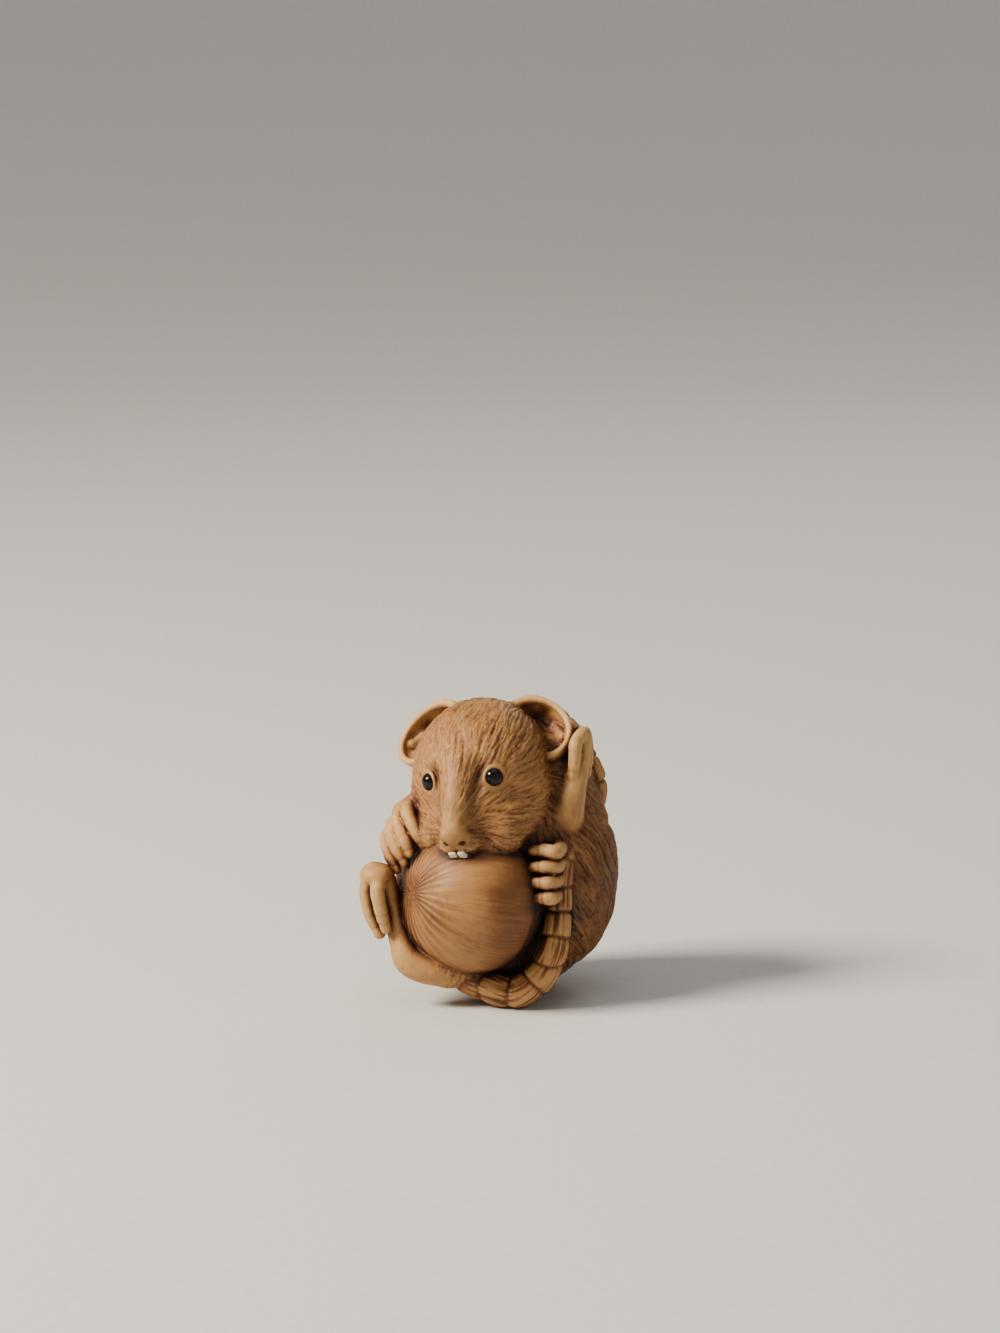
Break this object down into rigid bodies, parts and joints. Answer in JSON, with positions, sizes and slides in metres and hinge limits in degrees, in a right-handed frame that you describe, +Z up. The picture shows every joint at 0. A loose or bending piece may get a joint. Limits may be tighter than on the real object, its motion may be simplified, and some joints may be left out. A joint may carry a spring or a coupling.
{
  "type": "netsuke",
  "caption": "Carved boxwood netsuke of a rat curled round a chestnut it bites, one hind foot raised to its ear and its ringed tail wrapped over its back, with inlaid horn eyes and bone teeth.",
  "frame": {"origin": "on the small flat it stands on, under the middle of the carving", "axes": "+Z up, -Y the way the nut and the rat's face look, +X to the rat's left"},
  "size_m": [0.0336, 0.0307, 0.0392],
  "materials": {
    "boxwood": "stained and hand-polished boxwood, darker in the recesses",
    "horn": "polished dark horn",
    "bone": "polished bone"
  },
  "bodies": {
    "root": {"rat_and_chestnut": "boxwood", "left_eye": "horn", "right_eye": "horn", "left_tooth": "bone", "right_tooth": "bone"}
  },
  "joints": []
}
